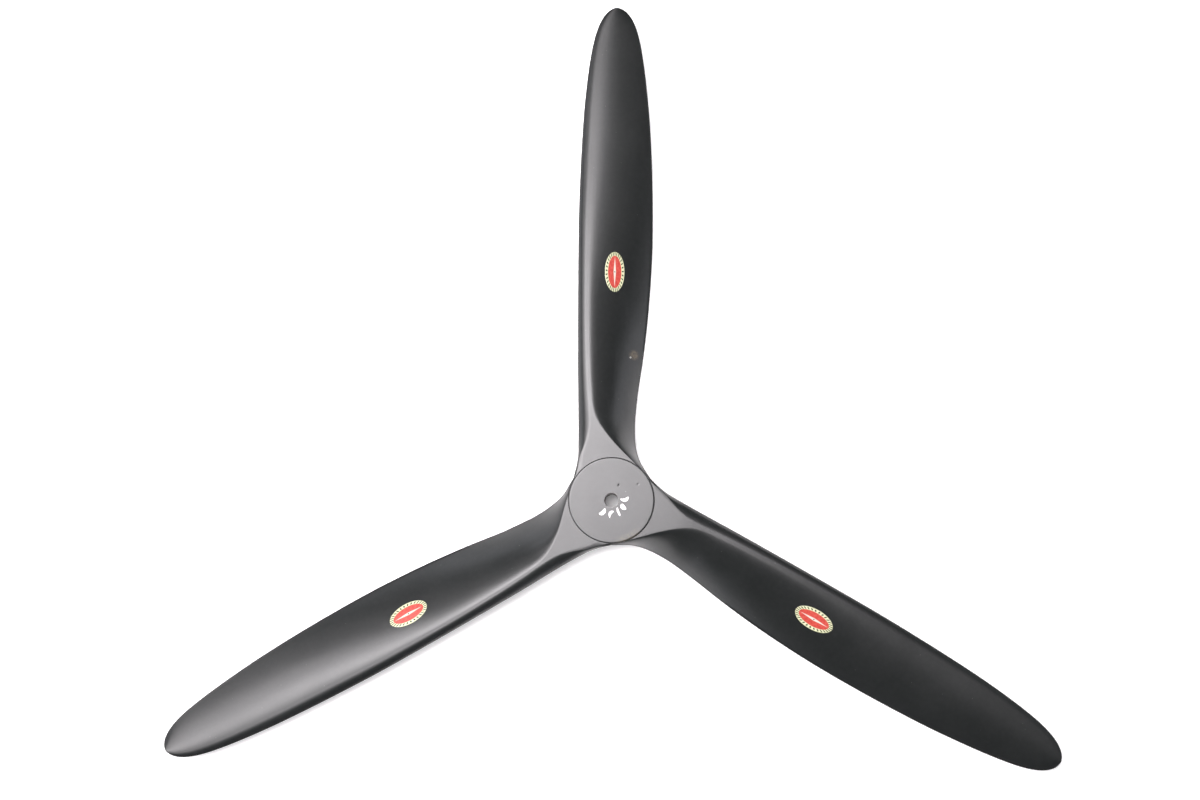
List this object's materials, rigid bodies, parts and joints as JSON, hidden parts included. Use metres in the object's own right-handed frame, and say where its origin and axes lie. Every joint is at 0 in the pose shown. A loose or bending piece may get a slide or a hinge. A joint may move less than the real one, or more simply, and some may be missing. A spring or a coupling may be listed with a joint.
{
  "type": "three-blade model aircraft propeller",
  "caption": "Wooden model aircraft propeller with mitred, twisted blades, flat hub faces, inlaid round hub plates and a bore through the hub.",
  "frame": {"origin": "centre of the bore in the plane of the hub's flat rear face", "axes": "+Z along the shaft towards the front, cambered side; +Y along the first blade"},
  "size_m": [0.6623, 0.5772, 0.0294],
  "materials": {
    "blade_paint": "satin",
    "disc_paint": "satin"
  },
  "bodies": {
    "root": {"blade_1": "blade_paint", "blade_2": "blade_paint", "blade_3": "blade_paint", "front_hub_disc": "disc_paint", "rear_hub_disc": "disc_paint"}
  },
  "joints": []
}
